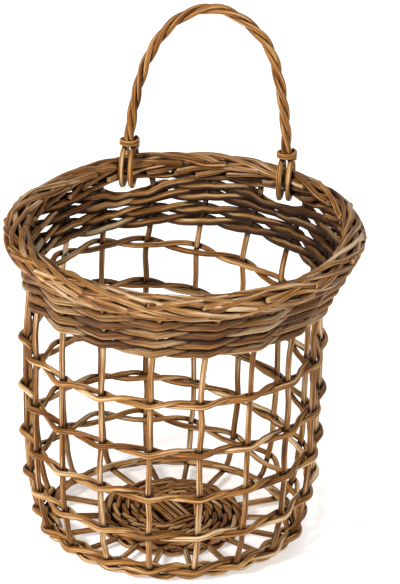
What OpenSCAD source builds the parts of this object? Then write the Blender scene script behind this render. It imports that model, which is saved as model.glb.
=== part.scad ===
// Round willow egg collection basket: a small woven base on a cross of sticks, an open ring of
// rods round it, open walls crossed by twined rows, a close band under a plaited rim, and a twisted carrying loop at the back.
// Origin: centre of the base, on the surface that it stands on. +Z up, loop at +Y, front at -Y.

/* [Basket] */
// Outside diameter of the rim
rim_d = 280; // [270:1:290]
// Height of the middle of the plaited rim
rim_z = 256.4; // [255.4:0.2:258]
// Middle radius of the wall at half height
wall_r = 111.6; // [110.4:0.2:112.4]
// How much the wall opens out at the band
wall_flare = 11.8; // [10.6:0.2:12.2]
// How far the axis of the wall and base lies to the -X side of the rim's
axis_off = 5.5; // [0:0.5:6]

/* [Rods] */
// Diameter of an upright rod in the wall
stake_d = 4.6; // [4:0.1:4.7]
// Diameter of a rod where it lies in the rim
tail_d = 3.4; // [3:0.1:3.4]
// Diameter of a twining rod
weaver_d = 3.8; // [3.2:0.1:3.8]
// Diameter of a base stick
stick_d = 4.6; // [4:0.1:4.7]

/* [Base] */
// Middle radius of the outermost round of the base
base_r = 52; // [51:0.5:52.5]
// How far the base rises in the middle
base_dome = 3; // [0:0.5:4]

/* [Loop] */
// Distance from the middle plane to each leg of the loop
leg_x = 63; // [61:0.5:65]
// Height of the top of the loop
loop_top = 403; // [392:1:410]
// Diameter of one rod of the loop
loop_rod_d = 3.5; // [3:0.1:3.5]
// Length along the loop in which its rods make one full turn
loop_pitch = 62; // [50:1:80]

/* [Hidden] */
gaps = 18;
gap_angle = 360 / gaps;
back_angle = 90;

// shape of the wall
base_draw = 13.5;
base_draw_z = 12;
base_draw_h = 26;
wall_swell = 1.5;
flare_z = 185;
flare_h = 55;
flare_power = 2.2;
axis_home_h = 60;

// rim plait
rim_wide = 7.5;
rim_tall = 5.3;
rim_r = rim_d / 2 - rim_wide - tail_d / 2;
plait_turn = 120;
tail_gaps = 2.7;
rise_gaps = 0.18;
entry_drop = 11;
entry_lean = 2;

// heights of an upright's points below the close band
lower_wall_z = [12.5, 20, 28, 36, 45, 62, 81, 123, 165, 190, 200];

// twined rows
row_levels = [12.5, 46.8, 82.6, 122.6, 164.4, 198.5];
row_start = 180;
climb_from = 350;
climb_to = 510;
row_reach = (stake_d + weaver_d) / 2 + 0.05;
row_lift = weaver_d / 2 + 0.1;
row_steps = 4;

// close band
band_z = 210;
band_pitch = 8.6;
band_rounds = 4;

// base
base_mid_z = 6.2;
base_rounds = 4;
base_pitch = 7.5;
foot_z = 1.7;
cross_angle = 40;
cross_pitch = 5.2;
cross_half = 13;
fan_r = 29;
stick_end_r = 57;
butt_r = 35;
turn_from_r = 90.4;
turn_r = 7.6;

// loop
rim_chord_y = sqrt(rim_r * rim_r - leg_x * leg_x);
eye_r = 15.8;
eye_rod_d = 4.2;
eye_gap = 3.2;
loop_rod_reach = loop_rod_d / 2 / sin(60) + 0.08;
loop_foot_z = rim_z + eye_r + eye_rod_d / 2 + 0.3;
arch_z = 291.5;
arch_h = loop_top - loop_rod_reach - loop_rod_d / 2 - arch_z;
tie_rod_d = 2.8;
tie_turns = 3;

two = ["01", "02", "03", "04", "05", "06", "07", "08", "09", "10",
       "11", "12", "13", "14", "15", "16", "17", "18"];

// ---------------------------------------------------------------- helpers

function polar(r, a, z) = [r * cos(a), r * sin(a), z];
function unit(v) = v / norm(v);
function ease(t) = let (c = min(1, max(0, t))) c * c * (3 - 2 * c);

// Middle radius of an upright at height z
function wall_radius(z) =
    wall_r - base_draw * exp(-(z - base_draw_z) / base_draw_h) + wall_swell * pow(z / 200, 3)
    + wall_flare * pow(max(0, z - flare_z) / flare_h, flare_power);

// Place of the wall's axis at height z: it comes over to the rim's axis within the band
function axis_x(z) = -axis_off * (1 - ease((z - flare_z) / axis_home_h));
function round_axis(r, a, z) = polar(r, a, z) + [axis_x(z), 0, 0];

// Direction of a path at its point i
function heading(path, i) =
    unit(path[min(i + 1, len(path) - 1)] - path[max(i - 1, 0)]);

// Side vectors carried along a path without twist
function carried(path, side, i = 0, done = []) =
    i == len(path) ? done :
    let (h = heading(path, i), s = unit(side - (side * h) * h))
    carried(path, s, i + 1, concat(done, [s]));

// Points of a round rod along a path, ring after ring, from diameter d to diameter end_d;
// the taper begins at point taper_from
function rod_points(path, d, end_d, taper_from, sides, side) =
    let (s = carried(path, side), last = len(path) - 1)
    [for (i = [0:last], k = [0:sides - 1])
        let (b = cross(heading(path, i), s[i]), a = 360 * k / sides,
             thin = ease((i - taper_from) / max(1, last - 9 - taper_from)),
             r = (d + thin * (end_d - d)) / 2)
        path[i] + r * (cos(a) * s[i] + sin(a) * b)];

// Faces of a rod of so many rings, its points numbered from first
function rod_faces(rings, sides, first) = concat(
    [[for (k = [sides - 1:-1:0]) first + k]],
    [for (i = [0:rings - 2], k = [0:sides - 1], half = [0, 1])
        let (a = first + i * sides + k, b = first + i * sides + (k + 1) % sides)
        half == 0 ? [a, b, b + sides] : [a, b + sides, a + sides]],
    [[for (k = [0:sides - 1]) first + (rings - 1) * sides + k]]);

// Round rods along several paths with the same number of points each
module rods(paths, d, sides = 6, side = [0, 0, 1], end_d = 0, taper_from = 0) {
    rings = len(paths[0]);
    polyhedron(
        points = [for (p = paths, v = rod_points(p, d, end_d == 0 ? d : end_d, taper_from, sides, side))
            v],
        faces = [for (i = [0:len(paths) - 1], f = rod_faces(rings, sides, i * rings * sides))
            [for (k = [len(f) - 1:-1:0]) f[k]]],
        convexity = 8);
}

module ring(r, d, z) {
    translate([0, 0, z]) rotate_extrude($fn = 96) translate([r, 0]) circle(d = d, $fn = 24);
}

// ---------------------------------------------------------------- base

// Height of the middle of the base weave at radius r
function base_z(r) = base_mid_z + base_dome * (1 - pow(min(r, base_r) / base_r, 2));

// One base stick: straight across the cross, then fanned out to its own direction at both ends
function stick_half(turn, fan, place, lift) = [
    for (r = [4, cross_half, (cross_half + fan_r) / 2, fan_r, 38, 48, stick_end_r])
        let (open = ease((r - cross_half) / (fan_r - cross_half)),
             straight = [r, place, base_z(r) + lift],
             fanned = polar(r, fan, base_z(r)),
             p = straight + open * (fanned - straight),
             c = cos(turn), s = sin(turn))
        [p[0] * c - p[1] * s, p[0] * s + p[1] * c, p[2]]];

function reversed(v) = [for (i = [len(v) - 1:-1:0]) v[i]];

function stick(turn, fan, place, lift) = concat(
    reversed(stick_half(turn + 180, -fan, -place, lift)),
    stick_half(turn, fan, place, lift));

module sticks(turn, count, lift) {
    paths = [for (i = [0:count - 1])
        let (k = i - (count - 1) / 2)
        stick(turn, k * gap_angle, k * cross_pitch, lift)];
    color("#9c6a35") translate([axis_x(0), 0, 0]) rods(paths, stick_d);
}

module base_sticks_lower() { sticks(cross_angle, 5, -stick_d / 2 - 0.05); }
module base_sticks_upper() { sticks(cross_angle + 90, 4, stick_d / 2 + 0.05); }

// One round of the base weave: a rod over the sticks and a rod under them
module base_round(i) {
    r = base_r - (base_rounds - i) * base_pitch;
    apart = (stick_d + weaver_d) / 2 + 0.1;
    color("#b17a3e") translate([axis_x(0), 0, 0]) {
        ring(r, weaver_d, base_z(r) + apart);
        if (i < base_rounds) ring(r, weaver_d, base_z(r) - apart);
        else foot_round();
    }
}

// The outermost lower round, worn flat where the basket stands on it
module foot_round() {
    intersection() {
        ring(base_r, weaver_d, foot_z);
        cylinder(r = base_r + weaver_d, h = 2 * weaver_d);
    }
}

// ---------------------------------------------------------------- uprights and rim

// Where an upright at angle a runs: butt in the base, turn, wall, then its share of the rim plait
function butt_points(a) = [
    for (r = [butt_r, (butt_r + turn_from_r) / 2, turn_from_r]) round_axis(r, a, base_z(r))];
function turn_points(a) = [for (t = [30, 60])
    round_axis(turn_from_r + turn_r * sin(t), a, base_mid_z + turn_r * (1 - cos(t)))];
function wall_points(a) = [
    for (z = concat(lower_wall_z, [for (i = [0:band_rounds - 1]) band_z + i * band_pitch]))
    round_axis(wall_radius(z), a, z)];

// Place of a rod t gaps along the rim, crossing from side to side; rise is 0 below the rim, 1 in it
function plait_point(a, t, rise = 1) =
    let (phase = plait_turn * t,
         r = rim_wide * sin(phase) * rise - entry_lean * (1 - rise),
         z = rim_tall * sin(2 * phase) * rise - entry_drop * (1 - rise))
    polar(rim_r + r, a + gap_angle * t, rim_z + z);
function plait_points(a, from, steps) =
    [for (i = [0:steps]) plait_point(a, from + i * (tail_gaps - from) / steps)];

function entry_points(a) = [for (t = [0.07, 0.13]) plait_point(a, t, ease(t / rise_gaps))];
function upright(a) =
    concat(butt_points(a), turn_points(a), wall_points(a), entry_points(a), plait_points(a, 0.2, 10));

module stake(i) {
    a = back_angle + (i - 1) * gap_angle;
    below_band = len(butt_points(0)) + len(turn_points(0)) + len(lower_wall_z) - 1;
    color("#b98346") rods([upright(a)], stake_d, end_d = tail_d, taper_from = below_band);
}

// Short rods laid into the rim between the uprights, which make the plait full
module rim_rods() {
    paths = [for (i = [0:gaps - 1]) plait_points(back_angle + (i + 1 / 3) * gap_angle, 0.1, 10)];
    color("#b07b40") rods(paths, tail_d, 5);
}

// ---------------------------------------------------------------- twined rows

// Height of row i at angle a: level round the front, then climbing to the next row at the back
function row_z(i, a) =
    row_levels[i - 1] + (row_levels[i] - row_levels[i - 1])
    * ease((a - climb_from) / (climb_to - climb_from));

// One of the two rods of a row: outside one upright, inside the next
function row_path(i, strand) = [
    for (k = [0:gaps * row_steps])
        let (a = row_start + 0.15 + (360 - 0.3) * k / (gaps * row_steps),
             u = (a - back_angle) / gap_angle + strand,
             z = row_z(i, a),
             reach = row_reach * cos(180 * u), lift = row_lift * sin(180 * u))
        polar(wall_radius(z) + reach, a, z + lift) + [axis_x(z), 0, 0]];

module row(i) {
    color("#c08b4c") rods([row_path(i, 0), row_path(i, 1)], weaver_d, 5);
}

// ---------------------------------------------------------------- close band

// One close round: a rod outside the uprights, and a rod inside them half a round lower
module band_round(i) {
    outer_z = band_z + (i - 1) * band_pitch;
    inner_z = outer_z - band_pitch / 2;
    color("#a8733a") {
        translate([axis_x(outer_z), 0, 0]) ring(wall_radius(outer_z) + row_reach, weaver_d, outer_z);
        translate([axis_x(inner_z), 0, 0]) ring(wall_radius(inner_z) - row_reach, weaver_d, inner_z);
    }
}

// ---------------------------------------------------------------- loop

// Middle line of the loop: straight legs, then half an ellipse
loop_line = concat(
    [for (i = [0:4]) [-leg_x, rim_chord_y, loop_foot_z + (arch_z - loop_foot_z) * i / 5]],
    [for (i = [0:44]) [-leg_x * cos(180 * i / 44), rim_chord_y, arch_z + arch_h * sin(180 * i / 44)]],
    [for (i = [4:-1:0]) [leg_x, rim_chord_y, loop_foot_z + (arch_z - loop_foot_z) * i / 5]]);

function run_to(i) = i == 0 ? 0 : run_to(i - 1) + norm(loop_line[i] - loop_line[i - 1]);

// One rod of the loop, wound round the middle line
function loop_strand(k) = [
    for (i = [0:len(loop_line) - 1])
        let (h = heading(loop_line, i), out = cross([0, 1, 0], h),
             a = 120 * k - 360 * run_to(i) / loop_pitch)
        loop_line[i] + loop_rod_reach * (cos(a) * out + sin(a) * [0, 1, 0])];

module loop_rod(k) {
    color("#8f5f30") rods([loop_strand(k)], loop_rod_d, 6, [0, 1, 0]);
}

// Eyes round the rim, on the axis that the loop swings about
module loop_eye(side) {
    apart = (eye_rod_d + eye_gap) / 2;
    color("#9a6834")
    for (s = [-1, 1])
        translate([side * leg_x + s * apart, rim_chord_y, rim_z]) rotate([0, 90, 0])
            ring(eye_r, eye_rod_d, 0);
}
module loop_eye_left() { loop_eye(-1); }
module loop_eye_right() { loop_eye(1); }

// Wrapping that binds each leg just above its eyes
module loop_tie(side) {
    r = loop_rod_reach + loop_rod_d / 2 + tie_rod_d / 2 + 0.1;
    color("#c9995c")
    for (i = [0:tie_turns - 1])
        translate([side * leg_x, rim_chord_y, 0])
            ring(r, tie_rod_d, loop_foot_z + tie_rod_d / 2 + 0.5 + i * (tie_rod_d + 0.05));
}
module loop_tie_left() { loop_tie(-1); }
module loop_tie_right() { loop_tie(1); }

// ---------------------------------------------------------------- the part

base_sticks_lower();
base_sticks_upper();
for (i = [1:base_rounds]) base_round(i);
for (i = [1:gaps]) stake(i);
for (i = [1:len(row_levels) - 1]) row(i);
for (i = [1:band_rounds]) band_round(i);
rim_rods();
for (i = [1:3]) loop_rod(i);
loop_eye_left();
loop_eye_right();
loop_tie_left();
loop_tie_right();
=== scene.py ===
"""Looks of a woven egg collection basket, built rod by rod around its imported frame.

Lengths are in metres. Angles round the basket are in degrees, anticlockwise from +X seen from above.
"""

import math
from collections import namedtuple

import bpy
import numpy as np
from mathutils import Matrix, Vector, kdtree


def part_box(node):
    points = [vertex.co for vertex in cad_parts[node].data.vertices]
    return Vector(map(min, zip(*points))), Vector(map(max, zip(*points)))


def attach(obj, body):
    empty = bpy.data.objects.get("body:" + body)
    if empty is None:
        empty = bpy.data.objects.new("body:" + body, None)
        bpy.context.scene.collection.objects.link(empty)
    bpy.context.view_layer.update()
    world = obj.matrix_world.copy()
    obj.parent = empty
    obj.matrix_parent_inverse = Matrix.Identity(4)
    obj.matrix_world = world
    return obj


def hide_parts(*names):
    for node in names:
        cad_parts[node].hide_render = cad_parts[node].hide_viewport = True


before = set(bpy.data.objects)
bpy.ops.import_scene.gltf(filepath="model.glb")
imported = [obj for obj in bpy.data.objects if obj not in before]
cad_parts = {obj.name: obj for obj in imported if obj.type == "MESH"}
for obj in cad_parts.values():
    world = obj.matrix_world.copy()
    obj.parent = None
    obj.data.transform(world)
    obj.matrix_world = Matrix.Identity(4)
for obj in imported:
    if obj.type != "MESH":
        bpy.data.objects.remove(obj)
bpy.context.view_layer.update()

MM = 0.001


# ---------------------------------------------------------------- sizes, from the frame


def middle(node):
    """Centre of a CAD node's box."""
    low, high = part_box(node)
    return (np.array(low) + np.array(high)) / 2


def top(node):
    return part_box(node)[1][2]


def bottom(node):
    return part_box(node)[0][2]


GAPS = 18
GAP_ANGLE = 360 / GAPS
BACK_ANGLE = 90

STAKE_R = 2.3 * MM
WEAVER_R = 1.9 * MM
STICK_R = 2.3 * MM
LOOP_STRAND_R = 2.2 * MM
LOOP_REACH = 2.3 * MM

LEG_X, CHORD_Y, RIM_Z = middle("loop_eye_right")
RIM_R = math.hypot(LEG_X, CHORD_Y)
EYE_ROD_R = 2.1 * MM
EYE_R = (top("loop_eye_right") - bottom("loop_eye_right")) / 2 - EYE_ROD_R
EYE_APART = (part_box("loop_eye_right")[1][0] - LEG_X) - EYE_ROD_R
LOOP_TOP = max(top(f"loop_rod_{i}") for i in (1, 2, 3)) - 1.5 * MM
LOOP_LAY = 62 * MM
TIE_ROD_R = 1.5 * MM
TIE_Y = CHORD_Y + 2.2 * MM
RIM_ROD_R = 2.55 * MM

# Where the eyes stand. The rim runs through them at a slant, and keeps its rods within IN_EYE there.
RIGHT_EYE_ANGLE = math.degrees(math.acos(LEG_X / RIM_R))
EYE_ANGLES = (RIGHT_EYE_ANGLE, 180 - RIGHT_EYE_ANGLE)
EYE_SLANT = RIM_R / CHORD_Y
IN_EYE = EYE_R - EYE_ROD_R - RIM_ROD_R - 1.3 * MM

ROWS = 5
BAND_ROUNDS = 4
BASE_ROUNDS = 4
CROSS_ANGLE = 40
AXIS_OFF = middle("base_round_4")[0]
BASE_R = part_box("base_round_4")[1][0] - AXIS_OFF - WEAVER_R
BASE_ROUND_PITCH = 7.5 * MM
BASE_MID_Z = 6.2 * MM
BASE_DOME = 3 * MM

# The uprights turn up out of the base on an arc.
TURN_FROM = 88.6 * MM
TURN_R = 9.4 * MM

# What is out of true in the wall: fuller at its sides and its foot, and set a little to the left.
SIDE_SWELL = 3.0 * MM
FOOT_SWELL = 2.2 * MM
WALL_SHIFT = 1.5 * MM

# The rim is pressed in beside the left leg of the loop.
DENT_ANGLE = 149
DENT_WIDTH = 15
DENT_DEPTH = 5.2 * MM


def row_level(i):
    """Level of row i round the front of the wall."""
    return bottom(f"row_{i}") + 2 * WEAVER_R + 0.1 * MM


def band_level(i):
    """Level of round i of the close band."""
    return top(f"band_round_{i}") - WEAVER_R


BAND_PITCH = band_level(2) - band_level(1)
ROW_LEVELS = [row_level(i) for i in range(1, ROWS + 1)] + [band_level(1) - BAND_PITCH]
BAND_LEVELS = [band_level(i) for i in range(1, BAND_ROUNDS + 1)]
BAND_LEVELS.append(BAND_LEVELS[-1] + BAND_PITCH)


# How a pair of strands twines. reach: out from the uprights' middle. lift: rise between two uprights.
# kink: chance ups and downs. flat: thickness over height. fuller: extra size round the back.
Twine = namedtuple("Twine", "radius reach lift kink flat fuller climb_from climb_to")
REACH = STAKE_R + WEAVER_R + 0.05 * MM
ROW_TWINE = Twine(2.25 * MM, REACH, 1.8 * MM, 2.0 * MM, 1.0, 0.0, 350, 510)
BAND_TWINE = Twine(3.3 * MM, REACH * 0.86, 2.1 * MM, 0.7 * MM, 0.66, 0.24, 484, 520)


# ---------------------------------------------------------------- small maths


def ease(t):
    t = np.clip(t, 0, 1)
    return t * t * (3 - 2 * t)


def over(value, start, run):
    """0 up to start, then a smooth rise to 1 within run."""
    return ease((value - start) / run)


def polar(r, angle, z):
    a = np.radians(angle)
    return np.stack(np.broadcast_arrays(r * np.cos(a), r * np.sin(a), z), -1)


def wander(count, knots, size, rng):
    """Smooth random values, about size high, along count points."""
    values = rng.normal(0, size, max(2, knots) + 3)
    places = np.linspace(1, len(values) - 2.001, count)
    i = places.astype(int)
    t = ease(places - i)
    return values[i] * (1 - t) + values[i + 1] * t


def smooth_path(points, spacing):
    """A smooth curve through points, sampled about every spacing."""
    p = np.asarray(points, float)
    p = np.vstack([2 * p[0] - p[1], p, 2 * p[-1] - p[-2]])
    out = []
    for i in range(1, len(p) - 2):
        a, b, c, d = p[i - 1 : i + 3]
        n = max(2, int(round(np.linalg.norm(c - b) / spacing)))
        t = np.linspace(0, 1, n, endpoint=False)[:, None]
        m0 = (c - a) / 2
        m1 = (d - b) / 2
        h00 = 2 * t**3 - 3 * t**2 + 1
        h10 = t**3 - 2 * t**2 + t
        h01 = -2 * t**3 + 3 * t**2
        h11 = t**3 - t**2
        out.append(h00 * b + h10 * m0 + h01 * c + h11 * m1)
    out.append(p[-2][None])
    return np.vstack(out)


def headings(path):
    h = np.gradient(path, axis=0)
    return h / np.linalg.norm(h, axis=1)[:, None]


def carried(heads, start):
    """Side vectors carried along a path without twist."""
    sides = np.empty_like(heads)
    s = np.asarray(start, float)
    for i, h in enumerate(heads):
        s = s - (s @ h) * h
        s = s / np.linalg.norm(s)
        sides[i] = s
    return sides


# ---------------------------------------------------------------- rods

SIDES = 10
PATH_STEP = 2.6 * MM

# Slow changes along a rod happen about once in these lengths, and knots come this often.
THICKNESS_RUN = 30 * MM
TONE_RUN = 50 * MM
TWIST_RUN = 80 * MM
KNOT_RUN = 160 * MM
KNOT_HALF = 2.2 * MM
KNOT_SWELL = 0.09

# Every rod's middle points with its radius there, and every piece built.
CENTRES = []
PIECES = []


class Rods:
    """Collects round willow rods, and makes one mesh of them."""

    def __init__(self, seed):
        self.rng = np.random.default_rng(seed)
        self.points = []
        self.faces = []
        self.rod_space = []
        self.tone = []
        self.cut = []
        self.count = 0

    def add(self, path, radius, side=(0, 0, 1), bumps=1.0, cuts=(True, True), flat=1.0):
        """One rod along a path. radius is a number or one number for each point of the path.

        bumps scales its unevenness, cuts says which ends are cut at a slant, flat squashes its section.
        """
        rng = self.rng
        n = len(path)
        heads = headings(path)
        sides = carried(heads, side)
        across = np.cross(heads, sides)
        lengths = np.concatenate([[0], np.cumsum(np.linalg.norm(np.diff(path, axis=0), axis=1))])
        long = lengths[-1]
        r = np.broadcast_to(radius, n).astype(float).copy()
        r *= 1 + bumps * wander(n, int(long / THICKNESS_RUN), 0.028, rng)
        for _ in range(rng.poisson(long / KNOT_RUN * bumps)):
            at = rng.uniform(0.05, 0.95) * long
            r *= 1 + KNOT_SWELL * np.exp(-(((lengths - at) / KNOT_HALF) ** 2))
        angles = np.linspace(0, 2 * np.pi, SIDES, endpoint=False)
        twist = rng.uniform(0, 6.28) + wander(n, int(long / TWIST_RUN), 0.5, rng)[:, None]
        shape = 1 + 0.035 * np.cos(2 * angles + twist) + 0.02 * np.cos(3 * angles - 2 * twist)
        ring = r[:, None] * shape
        cos, sin = np.cos(angles), np.sin(angles)
        body = (
            path[:, None]
            + (ring * cos)[..., None] * sides[:, None]
            + (ring * sin * flat)[..., None] * across[:, None]
        )
        mean = float(np.mean(r))
        place = rng.uniform(0, 50)
        space = np.stack(
            [
                np.broadcast_to(cos * mean, (n, SIDES)),
                np.broadcast_to(sin * mean, (n, SIDES)),
                np.broadcast_to((lengths + place)[:, None], (n, SIDES)),
            ],
            -1,
        )
        shade = rng.normal(0, 0.4) + wander(n, int(long / TONE_RUN), 0.25, rng)
        for end, step in ((0, 1), (-1, -1)):
            slant = rng.uniform(0.2, 0.7) * cuts[end]
            body[end] += (cos * slant * r[end])[:, None] * heads[end] * step
        first = self.count
        self.points.append(body.reshape(-1, 3))
        self.rod_space.append(space.reshape(-1, 3))
        self.tone.append(np.repeat(shade, SIDES))
        self.cut.append(np.zeros(n * SIDES))
        self.count += n * SIDES
        for i in range(n - 1):
            a = first + i * SIDES
            for k in range(SIDES):
                m = (k + 1) % SIDES
                self.faces.append((a + k, a + m, a + SIDES + m, a + SIDES + k))
        for end in (0, -1):
            self.cap(body[end], space[end], shade[end], heads[end] * (-1 if end == 0 else 1), end == 0)
        CENTRES.extend(zip(path, r))

    def cap(self, ring, space, shade, out, first_end):
        """A cut end: a rounded edge and a pale face."""
        first = self.count
        centre = ring.mean(0)
        rim = centre + (ring - centre) * 0.86 + out * 0.00022
        # The rim is there twice, so that the pale face starts sharply.
        pts = np.vstack([ring, rim, rim, centre + out * 0.00018])
        self.points.append(pts)
        self.rod_space.append(np.vstack([space, space, space, space.mean(0)]))
        self.tone.append(np.full(len(pts), shade))
        self.cut.append(np.concatenate([np.zeros(SIDES * 2), np.ones(SIDES + 1)]))
        self.count += len(pts)
        for k in range(SIDES):
            m = (k + 1) % SIDES
            edge = (first + k, first + SIDES + k, first + SIDES + m, first + m)
            face = (first + 2 * SIDES + k, first + 3 * SIDES, first + 2 * SIDES + m)
            if not first_end:
                edge, face = edge[::-1], face[::-1]
            self.faces.append(edge)
            self.faces.append(face)

    def build(self, name, material, body, nodes):
        mesh = bpy.data.meshes.new(name)
        mesh.from_pydata(np.vstack(self.points).tolist(), [], self.faces)
        mesh.validate()
        for label, kind, values in (
            ("rod", "FLOAT_VECTOR", np.vstack(self.rod_space)),
            ("tone", "FLOAT", np.concatenate(self.tone)),
            ("cut", "FLOAT", np.concatenate(self.cut)),
        ):
            layer = mesh.attributes.new(label, kind, "POINT")
            layer.data.foreach_set("vector" if kind == "FLOAT_VECTOR" else "value", values.ravel())
        mesh.shade_smooth()
        mesh.materials.append(material)
        piece = bpy.data.objects.new(name, mesh)
        bpy.context.collection.objects.link(piece)
        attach(piece, body)
        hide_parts(*nodes)
        PIECES.append(piece)


# ---------------------------------------------------------------- materials


def srgb(text):
    """Linear colour from a hex colour."""
    values = [int(text[i : i + 2], 16) / 255 for i in (1, 3, 5)]
    return [v / 12.92 if v <= 0.04045 else ((v + 0.055) / 1.055) ** 2.4 for v in values] + [1]


class Nodes:
    """Short ways to add and join shader nodes."""

    def __init__(self, name):
        self.material = bpy.data.materials.new(name)
        self.material.use_nodes = True
        self.tree = self.material.node_tree
        self.shader = self.tree.nodes["Principled BSDF"]

    def add(self, kind, **values):
        node = self.tree.nodes.new(kind)
        for key, value in values.items():
            setattr(node, key, value)
        return node

    def join(self, source, target):
        self.tree.links.new(source, target)

    def attribute(self, name):
        return self.add("ShaderNodeAttribute", attribute_type="GEOMETRY", attribute_name=name)

    def maths(self, operation, a, b=None, c=None):
        node = self.add("ShaderNodeMath", operation=operation)
        for socket, value in zip(node.inputs, (a, b, c)):
            if value is None:
                continue
            if isinstance(value, (int, float)):
                socket.default_value = value
            else:
                self.join(value, socket)
        return node.outputs[0]

    def noise(self, vector, scale, detail=3.0, rough=0.55):
        """Noise on a stretched copy of a vector."""
        stretch = self.add("ShaderNodeMapping", vector_type="POINT")
        stretch.inputs["Scale"].default_value = scale
        self.join(vector, stretch.inputs["Vector"])
        node = self.add("ShaderNodeTexNoise", noise_dimensions="3D")
        node.inputs["Scale"].default_value = 1.0
        node.inputs["Detail"].default_value = detail
        node.inputs["Roughness"].default_value = rough
        self.join(stretch.outputs[0], node.inputs["Vector"])
        return node.outputs["Fac"]

    def ramp(self, factor, stops):
        node = self.add("ShaderNodeValToRGB")
        elements = node.color_ramp.elements
        while len(elements) < len(stops):
            elements.new(0.5)
        for element, (place, colour) in zip(elements, stops):
            element.position = place
            element.color = srgb(colour)
        self.join(factor, node.inputs["Fac"])
        return node.outputs["Color"]

    def blend(self, factor, a, b):
        node = self.add("ShaderNodeMix", data_type="RGBA")
        self.join(factor, node.inputs[0])
        for value, socket in ((a, node.inputs[6]), (b, node.inputs[7])):
            if isinstance(value, str):
                socket.default_value = srgb(value)
            else:
                self.join(value, socket)
        return node.outputs[2]


# Noise cells to a metre: two numbers across the rod, one along it.
STREAKS = (820, 820, 16)
FINE_STREAKS = (2400, 2400, 80)
BLOTCHES = (160, 160, 38)
CUT_COLOUR = "#b8905c"
ROUGHNESS = 0.32


def willow(name, colours, crevice_shade_colour):
    """Buff willow: streaks along the rod, mottled tone, painted shade in crevices and pale cut ends."""
    m = Nodes(name)
    rod = m.attribute("rod").outputs["Vector"]
    streak = m.noise(rod, STREAKS, 4, 0.6)
    fine = m.noise(rod, FINE_STREAKS, 2, 0.5)
    blotch = m.noise(rod, BLOTCHES, 3, 0.6)
    tone = m.attribute("tone").outputs["Fac"]
    grain = m.maths("MULTIPLY_ADD", streak, 2.8, -1.4)
    mottle = m.maths("MULTIPLY_ADD", blotch, 0.9, -0.45)
    level = m.maths("MULTIPLY_ADD", tone, 0.26, 0.5)
    level = m.maths("ADD", m.maths("ADD", level, grain), mottle)
    colour = m.ramp(level, [(0.0, colours[0]), (0.38, colours[1]), (0.68, colours[2]), (1.0, colours[3])])
    # Painted shade: the colour goes towards the crevice shade colour where other rods close the surface in,
    # and on the inside of the close band.
    crevice = m.attribute("crevice").outputs["Fac"]
    painted_shade = m.add("ShaderNodeMapRange")
    painted_shade.inputs["From Min"].default_value = 0.1
    painted_shade.inputs["From Max"].default_value = 0.72
    painted_shade.inputs["To Max"].default_value = 0.96
    m.join(crevice, painted_shade.inputs["Value"])
    painted_shade = m.maths("POWER", painted_shade.outputs[0], 1.25)
    colour = m.blend(painted_shade, colour, crevice_shade_colour)
    cut_fac = m.attribute("cut").outputs["Fac"]
    colour = m.blend(m.maths("MULTIPLY", cut_fac, 0.7), colour, CUT_COLOUR)
    m.join(colour, m.shader.inputs["Base Color"])
    rough = m.maths("MULTIPLY_ADD", blotch, 0.25, ROUGHNESS)
    m.join(m.maths("MULTIPLY_ADD", crevice, 0.3, rough), m.shader.inputs["Roughness"])
    height = m.maths("MULTIPLY_ADD", fine, 0.4, streak)
    bump = m.add("ShaderNodeBump")
    bump.inputs["Strength"].default_value = 0.8
    bump.inputs["Distance"].default_value = 0.0008
    m.join(height, bump.inputs["Height"])
    m.join(bump.outputs["Normal"], m.shader.inputs["Normal"])
    m.shader.inputs["Specular IOR Level"].default_value = 0.2
    m.shader.inputs["Coat Weight"].default_value = 0.05
    m.shader.inputs["Coat Roughness"].default_value = 0.3
    return m.material


# ---------------------------------------------------------------- shapes of the basket


WALL_R = 111.6 * MM
FOOT_TUCK = 13.5 * MM
FLARE = 11.8 * MM
FLARE_FROM = 185 * MM


def wall_radius(z):
    """Middle radius of an upright at height z: tucked in at the foot, and flared at the band."""
    tuck = FOOT_TUCK * np.exp(-(z - 12 * MM) / (26 * MM))
    opening = 1.5 * MM * (z / (200 * MM)) ** 3
    flare = FLARE * (np.maximum(0, z - FLARE_FROM) / (55 * MM)) ** 2.2
    return WALL_R - tuck + opening + flare


def round_axis(r, angle, z):
    """A point round the axis of the wall, which comes over to the rim's axis within the band."""
    home = over(z, 185 * MM, 60 * MM)
    foot = FOOT_SWELL * (1 - over(z, 10 * MM, 30 * MM))
    below_band = 1 - over(z, 150 * MM, 60 * MM)
    in_wall = over(r, 60 * MM, 30 * MM)
    swell = (SIDE_SWELL + foot) * in_wall * below_band
    pressed = over(z, 190 * MM, 50 * MM) * dent(angle)
    p = polar(r + swell * np.cos(np.radians(angle)) ** 4 - pressed, angle, z)
    p[..., 0] += (AXIS_OFF - WALL_SHIFT * in_wall) * (1 - home)
    return p


def base_z(r):
    """Middle height of the base weave at radius r."""
    return BASE_MID_Z + BASE_DOME * (1 - (np.minimum(r, BASE_R) / BASE_R) ** 2)


def dent(angle):
    """How far the rim is pressed in beside the left leg of the loop."""
    away = (np.mod(angle, 360) - DENT_ANGLE) / DENT_WIDTH
    return DENT_DEPTH * np.exp(-(away**2))


def rim_point(angle, t, r, z):
    """A point t gaps along the rim, r mm outwards of its middle line and z mm up, drawn in at the eyes."""
    a = angle + GAP_ANGLE * t
    reach = math.hypot(r * EYE_SLANT, z) * MM
    shrink = min(1, IN_EYE / reach) if reach else 1
    keep = 1 - (1 - off_eyes(a)) * (1 - shrink)
    return polar(RIM_R + r * keep * MM - dent(a), a, RIM_Z + z * keep * MM)


def off_eyes(angle):
    """0 beside the eyes of the loop, 1 well away from them."""
    a = np.mod(np.asarray(angle, float), 360)
    away = np.minimum(np.abs(a - EYE_ANGLES[0]), np.abs(a - EYE_ANGLES[1]))
    return over(away, 6, 8)


STICK_PLACES = (4, 13, 21, 29, 37, 45, 52.5)
STICK_PITCH = 5.2 * MM
STICK_LAYER = 2.35 * MM


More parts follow.
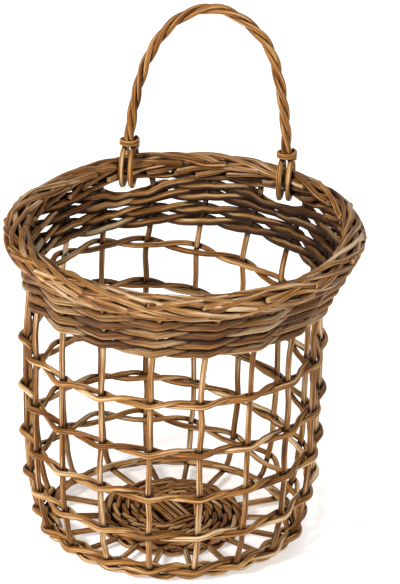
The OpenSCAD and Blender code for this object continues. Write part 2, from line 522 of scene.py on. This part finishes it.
def stick_half(turn, fan, place, lift):
    """Half of a base stick: straight over the cross, then fanned out."""
    c, s = math.cos(math.radians(turn)), math.sin(math.radians(turn))
    points = []
    for r in STICK_PLACES:
        r = r * MM
        straight = np.array([r, place, base_z(r) + lift])
        p = straight + over(r, 13 * MM, 16 * MM) * (polar(r, fan, base_z(r)) - straight)
        points.append([p[0] * c - p[1] * s + AXIS_OFF, p[0] * s + p[1] * c, p[2]])
    return points


def make_sticks(name, turn, count, lift, material, seed):
    rods = Rods(seed)
    for i in range(count):
        k = i - (count - 1) / 2
        near = stick_half(turn, k * GAP_ANGLE, k * STICK_PITCH, lift)
        far = stick_half(turn + 180, -k * GAP_ANGLE, -k * STICK_PITCH, lift)
        rods.add(smooth_path(far[::-1] + near, 4 * MM), STICK_R, bumps=0.8)
    rods.build(name + "_willow", material, "basket", [name])


def weave_round(rods, r, groups, strand, lift, reach, radius):
    """One strand of the base, over one stick or group of sticks and under the next."""
    a = rods.rng.uniform(0, 360) + np.linspace(0, 360, max(72, groups * 8 + 1))
    u = (a - CROSS_ANGLE) / (360 / groups) + strand
    z = base_z(r) + lift * soft_wave(u)
    out = reach * np.sin(np.pi * u) + wander(len(a), 14, 0.35 * MM, rods.rng)
    rods.add(smooth_path(round_axis(r + out, a, z), 2.4 * MM), radius)


def wale_round(rods, r, strand, lift):
    """One strand of three, over two sticks and under the next."""
    a = rods.rng.uniform(0, 360) + np.linspace(0, 360, GAPS * 8 + 1)
    turn = 2 * np.pi * ((a - CROSS_ANGLE) / GAP_ANGLE + strand) / 3
    z = base_z(r) + lift * np.clip(0.4 - 1.6 * np.cos(turn), -1, 1)
    out = 1.9 * MM * np.sin(turn) + wander(len(a), 14, 0.3 * MM, rods.rng)
    rods.add(smooth_path(round_axis(r + out, a, z), 2.4 * MM), 2.0 * MM)


def make_base_round(i, material):
    """Three strands wound through the sticks. The first round also binds the cross, the last has a border."""
    r = BASE_R - (BASE_ROUNDS - i) * BASE_ROUND_PITCH
    lift = STICK_R + WEAVER_R - 0.1 * MM
    rods = Rods(200 + i)
    for strand in (0, 1, 2):
        wale_round(rods, r, strand, lift)
    if i == 1:
        arms = 4
        for strand in (0, 1):
            weave_round(rods, 19.5 * MM, arms, strand, 6.2 * MM, 0.6 * MM, 1.8 * MM)
            weave_round(rods, 24 * MM, arms, strand, 5.4 * MM, 0.6 * MM, 1.9 * MM)
    if i == BASE_ROUNDS:
        for strand in (0, 1):
            weave_round(rods, r + 3.4 * MM, GAPS, strand, 3.6 * MM, 0.8 * MM, 1.9 * MM)
    rods.build(f"base_round_{i}_willow", material, "basket", [f"base_round_{i}"])


def soft_wave(u):
    """A cosine with narrower tops, as a strand that turns in again right after what it passes."""
    c = np.cos(np.pi * u)
    return np.sign(c) * np.abs(c) ** 1.3


# Heights of an upright's points, in mm. Between the two sway heights it stands a little off its own angle.
WALL_HEIGHTS = (12.5, 20, 28, 36, 45, 63, 81, 102, 123, 144, 165, 186, 205, 213, 221, 228, 236)
SWAY_FROM = 30
SWAY_TO = 195

# An upright's way through the rim: gaps along it, then mm outwards and mm up from the rim's middle line.
STAKE_IN_RIM = (
    (0.05, -2.0, -11.0),
    (0.22, 1.0, -8.6),
    (0.55, 5.2, -4.2),
    (0.95, 6.8, 0.4),
    (1.35, 4.8, 3.9),
    (1.75, 0.8, 5.0),
    (2.15, -3.2, 3.8),
    (2.55, -6.0, 1.2),
)

# The last two points of its tail, which comes out of the rim a little early or late.
TAIL = (2.86, -8.8, -3.0)
TAIL_END = (3.12, -10.2, -5.4)


def make_stake(i, material):
    """An upright: butt in the base, turn, wall, then its share of the rim plait."""
    angle = BACK_ANGLE + (i - 1) * GAP_ANGLE
    rods = Rods(300 + i)
    rng = rods.rng
    points = [round_axis(r, angle, base_z(r)) for r in (47 * MM, 62 * MM, 76 * MM, TURN_FROM)]
    points += [
        round_axis(TURN_FROM + TURN_R * math.sin(t), angle, BASE_MID_Z + TURN_R * (1 - math.cos(t)))
        for t in (math.radians(30), math.radians(60))
    ]
    for z in WALL_HEIGHTS:
        sway = rng.normal(0, 0.3) if SWAY_FROM < z < SWAY_TO else 0
        points.append(round_axis(wall_radius(z * MM), angle + sway, z * MM))
    for t, r, z in STAKE_IN_RIM:
        points.append(rim_point(angle, t, r, z) + rng.normal(0, 0.3 * MM, 3))
    late = rng.uniform(-0.15, 0.12)
    t, r, z = TAIL
    points.append(rim_point(angle, t + late, r, z))
    t, r, z = TAIL_END
    points.append(rim_point(angle, t + late * 1.5, r, z - 4 * late))
    path = smooth_path(points, 3 * MM)
    part = np.linspace(0, 1, len(path))
    radius = STAKE_R + (RIM_ROD_R - STAKE_R) * over(part, 0.66, 0.08)
    radius = radius * (1 - 0.1 * over(part, 0.9, 0.1))
    rods.add(path, radius, cuts=(False, True))
    name = f"stake_{i:02d}"
    rods.build(name + "_willow", material, "basket", [name])


def around_rim(turn, wide, tall):
    """Place in the rim's section: turn 0 is outwards, 90 is up."""
    a = math.radians(turn)
    return wide * math.cos(a) - 0.8, tall * math.sin(a)


# Gaps along the rim, and the turn in its section, for a rod that comes over it and one that goes under it.
OVER_RIM = ((-0.2, 152), (0.1, 134), (0.4, 112), (0.7, 86), (1.0, 58), (1.35, 30), (1.75, 4), (2.1, -22))
UNDER_RIM = ((0.62, 40), (0.95, 66), (1.3, 92), (1.65, 118), (2.0, 144), (2.35, 166))
OVER_RODS = 3 * GAPS // 2
# Turn in the section and mm from its middle, for each ring inside the rim.
CORE_RINGS = ((20, 2.6), (200, 2.6), (290, 3.0))
RIM_NOISE = 0.4 * MM


def lay_over(rods, i):
    """A rod from the rim's inner edge, over its top, down to its outer face."""
    rng = rods.rng
    angle = BACK_ANGLE + (i / 1.5 + 1 / 3) * GAP_ANGLE + rng.uniform(-2, 2)
    early = rng.uniform(-0.3, 0.1)
    on_top = rng.uniform(0.6, 1.8)
    wide = rng.uniform(6.5, 7.4)
    tall = rng.uniform(5.8, 7.0)
    stray = rng.normal(0, 6)
    points = [rim_point(angle, -0.55 + early, -7.4, 2.6 + on_top)]
    for t, turn in OVER_RIM:
        r, z = around_rim(turn + stray, wide, tall)
        points.append(rim_point(angle, t, r, z) + rng.normal(0, RIM_NOISE, 3))
    points.append(rim_point(angle, 2.5, 4.2, -6.0))
    points.append(rim_point(angle, 2.9, 1.0, -7.6))
    rods.add(smooth_path(points, PATH_STEP), RIM_ROD_R * rng.uniform(0.88, 1.1))


def lay_under(rods, i):
    """A rod from the rim's outer face, under the ones laid over it, to its inner edge."""
    rng = rods.rng
    angle = BACK_ANGLE + (i + 0.5) * GAP_ANGLE
    early = rng.uniform(-0.1, 0.15)
    points = [rim_point(angle, 0.3 + early, 7.6, 3.2)]
    for t, turn in UNDER_RIM:
        r, z = around_rim(turn, 6.2, 5.2)
        points.append(rim_point(angle, t, r, z) + rng.normal(0, RIM_NOISE, 3))
    points.append(rim_point(angle, 2.72, -7.4, -0.8))
    points.append(rim_point(angle, 3.0 + early, -8.2, -3.6))
    rods.add(smooth_path(points, PATH_STEP), RIM_ROD_R * rng.uniform(0.86, 1.0))


def lay_core(rods, turn, size):
    """A ring inside the rim, size mm from its middle line."""
    count = 200
    a = np.linspace(0, 360, count)
    out, up = math.cos(math.radians(turn)), math.sin(math.radians(turn))
    r = RIM_R + (size * out - 0.8) * MM + wander(count, 40, RIM_NOISE, rods.rng)
    z = RIM_Z + (size * up - 0.4) * MM + wander(count, 40, RIM_NOISE, rods.rng)
    rods.add(smooth_path(polar(r - dent(a), a, z), PATH_STEP), RIM_ROD_R, cuts=(False, False))


def lay_below(rods, strand):
    """One of a twined pair that closes the space between the band and the rim."""
    u, a = around(5)
    near = 1 - off_eyes(a)
    r = RIM_R - 2 * MM + 3.3 * MM * soft_wave(u + strand) + rods.rng.normal(0, 0.12 * MM, len(u))
    z = RIM_Z - 9.7 * MM + 2.2 * MM * near + (1 - 0.7 * near) * lean_wave(u + strand, 1.6 * MM)
    rods.add(smooth_path(polar(r - dent(a), a, z), PATH_STEP), 2.2 * MM, cuts=(False, False))


def make_rim_rods(material):
    """The rods added to the uprights' tails in the rim."""
    rods = Rods(400)
    for i in range(OVER_RODS):
        lay_over(rods, i)
    for i in range(GAPS):
        lay_under(rods, i)
    for turn, size in CORE_RINGS:
        lay_core(rods, turn, size)
    for strand in (0, 1):
        lay_below(rods, strand)
    rods.build("rim_rods_willow", material, "basket", ["rim_rods"])


# ---------------------------------------------------------------- rows and band


def around(first):
    """Points once round the basket, 8 to a gap: gaps from the back, and angles."""
    steps = 8
    u = first + np.arange(GAPS * steps + 1) / steps
    return u, BACK_ANGLE + u * GAP_ANGLE


def lean_wave(u, lift):
    """Rise of a strand between two uprights, all before two thirds of the gap."""
    part = np.clip(np.mod(u, 1) / 0.8, 0, 1)
    return lift * np.where(np.mod(np.floor(u), 2) == 0, 1, -1) * np.sin(np.pi * part)


STRAND_NOISE = 0.12 * MM
EYE_DROP = 1.2 * MM
BACK_RISE = 4.5 * MM
TOP_RISE = 2.2 * MM


def twined(rods, levels, i, strand, twine):
    """One strand of a twined round, outside one upright and inside the next."""
    rng = np.random.default_rng(7000 + 97 * i + strand)
    first = 5 if strand == 0 else 4
    u, a = around(first)
    climb = over(a, twine.climb_from, twine.climb_to - twine.climb_from)
    knock = np.interp(u, np.arange(first, first + GAPS + 1), twine.kink * shared_kinks(i))
    z = levels[i - 1] + (levels[i] - levels[i - 1]) * climb + knock + back_rise(a, levels[i - 1])
    below_eye = under_eyes(a, levels[i])
    up = (1 - 0.75 * below_eye) * lean_wave(u + strand, twine.lift) - EYE_DROP * below_eye
    # Between two uprights a strand cuts the corner that the round wall makes.
    sag = 1 - 1.1 * (1 - math.cos(math.radians(GAP_ANGLE / 2))) * (1 - np.cos(2 * np.pi * u)) / 2
    r = wall_radius(z) * sag + twine.reach * soft_wave(u + strand) + rng.normal(0, STRAND_NOISE, len(u))
    path = round_axis(r, a, z)
    path[:, 2] += up
    path = smooth_path(path, PATH_STEP)
    at_back = ease(0.5 + 1.5 * path[:, 1] / np.hypot(path[:, 0], path[:, 1]))
    below_eye = under_eyes(np.degrees(np.arctan2(path[:, 1], path[:, 0])), levels[i])
    radius = twine.radius * (1 + twine.fuller * at_back * (1 - below_eye))
    rods.add(path, radius, cuts=(False, False), flat=twine.flat)


def under_eyes(a, level):
    """1 on the top round of the band just under the eyes, where it leaves them room."""
    return over(level, 225 * MM, 10 * MM) * (1 - off_eyes(a))


def back_rise(a, level):
    """The close band stands a little higher at the back, and its top round clear of the loop's eyes."""
    in_band = over(level, 175 * MM, 25 * MM) * (1 - over(level, 225 * MM, 20 * MM))
    in_band = in_band * np.where(level > 230 * MM, off_eyes(a), 1)
    lift = BACK_RISE * in_band * np.maximum(0, np.sin(np.radians(a))) ** 1.5
    return lift + TOP_RISE * over(level, 215 * MM, 20 * MM) * off_eyes(a)


def shared_kinks(i):
    """Small ups and downs of a round at the uprights, the same at its two ends."""
    rng = np.random.default_rng(900 + i)
    values = rng.uniform(-1, 1, GAPS + 1)
    values[[0, 1, -2, -1]] = 0
    return values


def make_row(i, material):
    rods = Rods(500 + i)
    for strand in (0, 1):
        twined(rods, ROW_LEVELS, i, strand, ROW_TWINE)
    if i == 1:
        add_foot_rope(rods)
    rods.build(f"row_{i}_willow", material, "basket", [f"row_{i}"])


def add_foot_rope(rods):
    """Three rods that lock the uprights where they turn up, below one and then above the next."""
    u, a = around(5)
    for phase in (0, 2 / 3, 4 / 3):
        wave = soft_wave(u + phase)
        r = 91.3 * MM + 4.2 * MM * wave + rods.rng.normal(0, 0.2 * MM, len(u))
        z = 7.9 * MM - 2.8 * MM * wave + 1.2 * MM * np.sin(np.pi * (u + phase))
        rods.add(smooth_path(round_axis(r, a, z), PATH_STEP), 2.3 * MM, cuts=(False, False))


def make_band_round(i, material):
    rods = Rods(600 + i)
    for strand in (0, 1):
        twined(rods, BAND_LEVELS, i, strand, BAND_TWINE)
    rods.build(f"band_round_{i}_willow", material, "basket", [f"band_round_{i}"])


# ---------------------------------------------------------------- loop


ARCH_Z = 291.5 * MM
LEFT_LEG_IN = 3.2 * MM
RIGHT_LEG_IN = 1.6 * MM
SHOULDER_OUT = 4.6 * MM
SHOULDER_Z = 372 * MM


def loop_line():
    """Middle line of the loop, from the left leg to the right one, a little out of true."""
    foot = top("loop_eye_right") + 0.3 * MM
    arch_h = LOOP_TOP - LOOP_REACH - LOOP_STRAND_R - ARCH_Z
    left = [[-LEG_X, CHORD_Y, z] for z in np.linspace(foot, ARCH_Z, 5, endpoint=False)]
    turns = np.radians(np.linspace(0, 180, 46))
    arch = [[-LEG_X * math.cos(a), CHORD_Y, ARCH_Z + arch_h * math.sin(a)] for a in turns]
    right = [[-x, y, z] for x, y, z in left[::-1]]
    line = np.array(left + arch + right)
    above_foot = over(line[:, 2], foot, 45 * MM)
    shoulder = np.exp(-(((line[:, 2] - SHOULDER_Z) / (26 * MM)) ** 2))
    shift = np.where(line[:, 0] < 0, LEFT_LEG_IN, -RIGHT_LEG_IN + SHOULDER_OUT * shoulder)
    line[:, 0] += shift * above_foot
    at_top = np.exp(-((line[:, 0] / (22 * MM)) ** 2)) * over(line[:, 2], 380 * MM, 15 * MM)
    line[:, 0] += 0.8 * MM * at_top
    return smooth_path(line, 3 * MM)


def make_loop_rods(material):
    """Three rods wound round each other."""
    line = loop_line()
    heads = headings(line)
    depth = np.array([0.0, 1.0, 0.0])
    out = np.cross(depth, heads)
    run = np.concatenate([[0], np.cumsum(np.linalg.norm(np.diff(line, axis=0), axis=1))])
    for k in range(3):
        rods = Rods(700 + k)
        a = np.radians(120 * k) - 2 * np.pi * run / LOOP_LAY
        strand = line + LOOP_REACH * (np.cos(a)[:, None] * out + np.sin(a)[:, None] * depth)
        rods.add(smooth_path(strand, PATH_STEP), LOOP_STRAND_R, side=(0, 1, 0))
        rods.build(f"loop_rod_{k + 1}_willow", material, "loop", [f"loop_rod_{k + 1}"])


def make_eye(side, name, material):
    """Two rod ends bent round the rim and back up into the tie."""
    rods = Rods(720 + side)
    for s in (-1, 1):
        x = side * LEG_X + s * EYE_APART
        tie_x = side * LEG_X + s * EYE_APART * 0.8
        tie_z = RIM_Z + EYE_R
        turns = np.radians(np.linspace(200, 520, 30))
        ring = [[x, CHORD_Y + EYE_R * math.sin(a), RIM_Z - EYE_R * math.cos(a)] for a in turns]
        start = [[tie_x, TIE_Y - 2.4 * MM, tie_z + 5 * MM], [tie_x, TIE_Y - 3 * MM, tie_z + 1.5 * MM]]
        end = [[tie_x, TIE_Y + 3 * MM, tie_z + 1.5 * MM], [tie_x, TIE_Y + 2.4 * MM, tie_z + 6 * MM]]
        rods.add(smooth_path(start + ring[::-1] + end, 2.4 * MM), EYE_ROD_R, side=(1, 0, 0))
    rods.build(name + "_willow", material, "loop", [name])


TIE_WIDE = 6.7 * MM
TIE_DEEP = 5.7 * MM
TIE_PITCH = 2.5 * MM
TIE_ABOVE_EYE = 1.4 * MM


def make_tie(side, name, material):
    """A thin rod wrapped a little over twice round a leg and its eyes."""
    rods = Rods(740 + side)
    a = np.linspace(0, 2 * 360 + 60, 90)
    x = side * LEG_X + TIE_WIDE * np.cos(np.radians(a))
    y = TIE_Y + TIE_DEEP * np.sin(np.radians(a))
    z = RIM_Z + EYE_R + TIE_ABOVE_EYE + TIE_PITCH * a / 360
    rods.add(smooth_path(np.stack([x, y, z], -1), 2.2 * MM), TIE_ROD_R)
    rods.build(name + "_willow", material, "loop", [name])


# ---------------------------------------------------------------- crevices, painted shade


# How far off the surface to look for other rods, and how much each look counts.
LOOKS = ((1.5 * MM, 0.45), (3.5 * MM, 0.35), (7 * MM, 0.2))


def shade_crevices():
    """Stores on each vertex how closed in it is by the rods around it, plus the shade inside the band:
    painted shade in the colour, and rougher there.
    """
    tree = kdtree.KDTree(len(CENTRES))
    for i, (point, _) in enumerate(CENTRES):
        tree.insert(point, i)
    tree.balance()
    sizes = [size for _, size in CENTRES]
    for piece in PIECES:
        mesh = piece.data
        values = np.zeros(len(mesh.vertices))
        for i, vertex in enumerate(mesh.vertices):
            closed = 0.0
            for reach, weight in LOOKS:
                _, k, distance = tree.find(vertex.co + vertex.normal * reach)
                closed += weight * min(1.0, max(0.0, 1 - (distance - sizes[k]) / reach))
            values[i] = closed + shade_inside(vertex.co, vertex.normal)
        layer = mesh.attributes.new("crevice", "FLOAT", "POINT")
        layer.data.foreach_set("value", values)


def shade_inside(place, normal):
    """Painted shade on the inside of the close band, darkest at its right hand end."""
    r = math.hypot(place.x, place.y)
    if r < 90 * MM or place.z > RIM_Z + 3 * MM:
        return 0.0
    inwards = -(normal.x * place.x + normal.y * place.y) / r
    in_band = over(place.z, 190 * MM, 14 * MM)
    at_right = over(place.x, -60 * MM, 150 * MM) * over(place.y, -40 * MM, 60 * MM)
    return float((0.05 + 0.34 * at_right) * ease(inwards + 0.35) * in_band)


# ---------------------------------------------------------------- stage, light and camera


# Area lights: place, target, size, power and colour.
LIGHTS = {
    "key": ((-1.5, -1.9, 1.5), (0, 0, 0.15), 0.7, 104, (1, 0.97, 0.92)),
    "fill": ((1.6, -0.9, 1.0), (0, 0, 0.15), 1.4, 18, (1, 0.98, 0.95)),
    "back": ((0.4, 1.8, 1.6), (0, 0, 0.2), 1.2, 14, (1, 1, 1)),
}

# The photo's view, as fitted to the basket. The aim is off the pivot by metres to the right and up.
AZIMUTH = math.radians(8.4)
ELEVATION = math.radians(27.27)
ROLL = math.radians(1.35)
DISTANCE = 3.6
PIVOT = Vector((0, 0, 0.11))
AIM_RIGHT = 0.0131
AIM_UP = 0.0860
LENS = 412.5


def make_stage():
    bpy.ops.mesh.primitive_plane_add(size=14, location=(0, 0, 0))
    floor = bpy.context.object
    floor.name = "floor"
    m = Nodes("pale_floor")
    m.shader.inputs["Base Color"].default_value = (0.95, 0.95, 0.945, 1)
    m.shader.inputs["Emission Color"].default_value = (1, 1, 1, 1)
    m.shader.inputs["Emission Strength"].default_value = 0.38
    m.shader.inputs["Roughness"].default_value = 0.7
    floor.data.materials.append(m.material)


def add_light(name, place, target, size, power, colour):
    light = bpy.data.lights.new(name, "AREA")
    light.shape = "DISK"
    light.size = size
    light.energy = power
    light.color = colour
    lamp = bpy.data.objects.new(name, light)
    lamp.location = place
    lamp.rotation_euler = (Vector(target) - Vector(place)).to_track_quat("-Z", "Y").to_euler()
    bpy.context.collection.objects.link(lamp)


def light_scene():
    world = bpy.data.worlds.new("studio")
    bpy.context.scene.world = world
    world.use_nodes = True
    background = world.node_tree.nodes["Background"]
    background.inputs["Color"].default_value = (1, 0.99, 0.97, 1)
    background.inputs["Strength"].default_value = 0.26
    for name, settings in LIGHTS.items():
        add_light(name, *settings)
    bpy.context.scene.view_settings.view_transform = "Standard"


def aim_camera():
    """Camera at the photo's angle: a long lens, seen from the front, a little to the right, and above."""
    back = Vector((
        math.sin(AZIMUTH) * math.cos(ELEVATION),
        -math.cos(AZIMUTH) * math.cos(ELEVATION),
        math.sin(ELEVATION),
    ))
    right = Vector((math.cos(AZIMUTH), math.sin(AZIMUTH), 0))
    place = PIVOT + back * DISTANCE
    aim = PIVOT + right * AIM_RIGHT + back.cross(right) * AIM_UP
    view = (aim - place).normalized()
    right = view.cross(Vector((0, 0, 1))).normalized()
    up = right.cross(view)
    image_up = up * math.cos(ROLL) - right * math.sin(ROLL)
    image_right = right * math.cos(ROLL) + up * math.sin(ROLL)
    camera = bpy.data.cameras.new("camera")
    camera.sensor_fit = "HORIZONTAL"
    camera.sensor_width = 36
    camera.lens = LENS
    camera.clip_end = 30
    eye = bpy.data.objects.new("camera", camera)
    turn = Matrix((image_right, image_up, -view)).transposed().to_4x4()
    eye.matrix_world = Matrix.Translation(place) @ turn
    bpy.context.collection.objects.link(eye)
    bpy.context.scene.camera = eye


# ---------------------------------------------------------------- build

aim_camera()
light_scene()
make_stage()

# Each willow's colours run from its darkest streaks to its palest. The last one is the painted shade colour,
# mixed in at its crevices and on the inside of the close band.
WILLOWS = {
    "base_willow": (("#3a1a05", "#764618", "#a07038", "#c4a67e"), "#1c0700"),
    "stake_willow": (("#3b1a05", "#6f451a", "#976a36", "#c2ab8c"), "#1e0900"),
    "weaver_willow": (("#401d05", "#7e4f1d", "#a8793f", "#cdb998"), "#1e0900"),
    "loop_willow": (("#3a1b06", "#7c4c1e", "#a27238", "#cdb18a"), "#1a0700"),
    "binding_willow": (("#431f05", "#845420", "#ab7c40", "#cdb48c"), "#1e0900"),
}
materials = {name: willow(name, colours, crevice_shade_colour) for name, (colours, crevice_shade_colour) in WILLOWS.items()}
base_willow = materials["base_willow"]
stake_willow = materials["stake_willow"]
weaver_willow = materials["weaver_willow"]
binding_willow = materials["binding_willow"]

make_sticks("base_sticks_lower", CROSS_ANGLE, 5, -STICK_LAYER, base_willow, 101)
make_sticks("base_sticks_upper", CROSS_ANGLE + 90, 4, STICK_LAYER, base_willow, 102)
for number in range(1, BASE_ROUNDS + 1):
    make_base_round(number, base_willow)
for number in range(1, GAPS + 1):
    make_stake(number, stake_willow)
for number in range(1, ROWS + 1):
    make_row(number, weaver_willow)
for number in range(1, BAND_ROUNDS + 1):
    make_band_round(number, weaver_willow)
make_rim_rods(stake_willow)
make_loop_rods(materials["loop_willow"])
make_eye(-1, "loop_eye_left", binding_willow)
make_eye(1, "loop_eye_right", binding_willow)
make_tie(-1, "loop_tie_left", binding_willow)
make_tie(1, "loop_tie_right", binding_willow)
shade_crevices()
